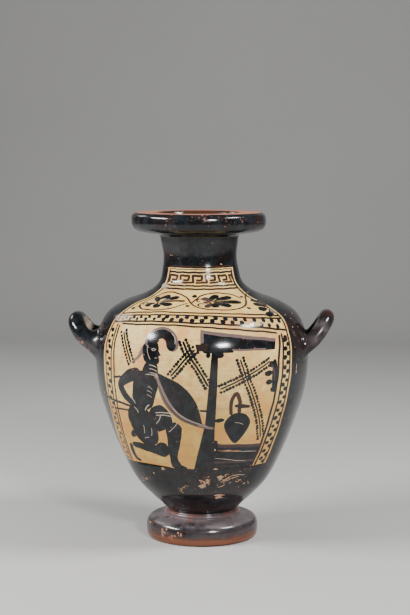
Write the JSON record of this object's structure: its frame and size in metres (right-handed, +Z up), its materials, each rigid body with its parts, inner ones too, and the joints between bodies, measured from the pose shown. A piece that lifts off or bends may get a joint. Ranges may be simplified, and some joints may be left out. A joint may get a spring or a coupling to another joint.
{
  "type": "black-figure hydria",
  "caption": "Tall round-bellied clay water jar on a ring foot, with a narrow neck, broad flat lip, two side loop handles and one upright back handle.",
  "frame": {"origin": "centre of the foot's resting ring, on the surface that the jar stands on", "axes": "+Z up through the mouth, the painted front faces -Y, the side handles lie along X and the back handle is at +Y"},
  "size_m": [0.2838, 0.2294, 0.35],
  "materials": {
    "glazed_clay": "glossy black slip, with the clay left orange where the picture panel, the lip's top and the foot's edge are"
  },
  "bodies": {
    "root": {"hydria": "glazed_clay"}
  },
  "joints": []
}
